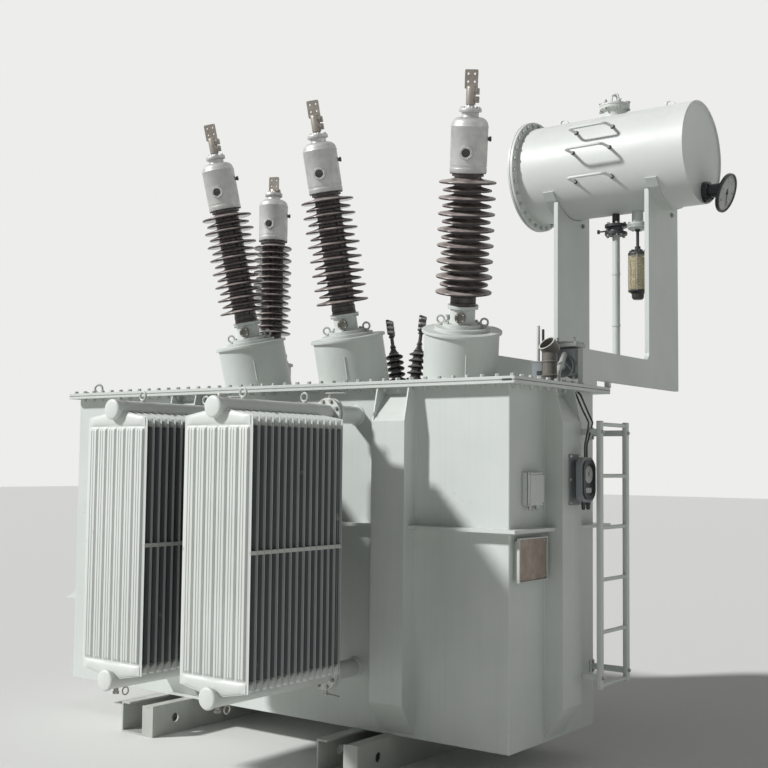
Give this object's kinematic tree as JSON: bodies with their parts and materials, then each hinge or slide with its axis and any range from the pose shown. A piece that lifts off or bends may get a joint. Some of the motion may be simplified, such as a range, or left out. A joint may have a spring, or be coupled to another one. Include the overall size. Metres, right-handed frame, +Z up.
{
  "type": "oil-filled power transformer",
  "caption": "Outdoor oil-filled power transformer with panel radiators, inclined porcelain bushings, a conservator drum on brackets, a ladder and skid beams.",
  "frame": {"origin": "on the ground under the middle of the overall box", "axes": "+X along the tank towards the ladder end, -Y the side of the inclined bushings, +Z up"},
  "size_m": [4.471, 3.6198, 4.4928],
  "materials": {
    "grey_enamel": "semi-gloss grey-green enamel, dusty, with a few rust runs",
    "brown_porcelain": "glazed dark brown porcelain",
    "cast_aluminium": "weathered silver-grey casting",
    "dark_steel": "dark painted casting",
    "dryer_glass": "clear glass over yellowed drying beads",
    "weathered_plate": "dull copper-brown rating plate, bare"
  },
  "bodies": {
    "root": {"tank_body": "grey_enamel", "tank_cover": "grey_enamel", "skid_beam_left": "grey_enamel", "skid_beam_right": "grey_enamel", "stiffener_front_left": "grey_enamel", "stiffener_front_right": "grey_enamel", "stiffener_rear_left": "grey_enamel", "stiffener_rear_right": "grey_enamel", "stiffener_end_left": "grey_enamel", "stiffener_end_right": "grey_enamel", "radiator_front_left": "grey_enamel", "radiator_front_right": "grey_enamel", "radiator_rear_left": "grey_enamel", "radiator_rear_right": "grey_enamel", "turret_a": "grey_enamel", "turret_b": "grey_enamel", "turret_c": "grey_enamel", "turret_n": "grey_enamel", "conservator_shell": "grey_enamel", "conservator_cover": "grey_enamel", "conservator_end_plate": "grey_enamel", "filler_cap": "grey_enamel", "bracket_left": "grey_enamel", "bracket_right": "grey_enamel", "oil_pipe_front": "grey_enamel", "oil_pipe_rear": "grey_enamel", "relief_valve": "grey_enamel", "breather_hanger": "grey_enamel", "ladder": "grey_enamel", "small_terminal_box": "grey_enamel", "dial_box": "grey_enamel", "insulator_a": "brown_porcelain", "insulator_b": "brown_porcelain", "insulator_c": "brown_porcelain", "insulator_n": "brown_porcelain", "lv_bushing_a": "brown_porcelain", "lv_bushing_b": "brown_porcelain", "lv_bushing_c": "brown_porcelain", "bushing_head_a": "cast_aluminium", "bushing_head_b": "cast_aluminium", "bushing_head_c": "cast_aluminium", "bushing_head_n": "cast_aluminium", "gas_relay": "dark_steel", "drum_valve": "dark_steel", "oil_gauge": "dark_steel", "breather_dryer": "dryer_glass", "plate_holder": "weathered_plate"}
  },
  "joints": []
}
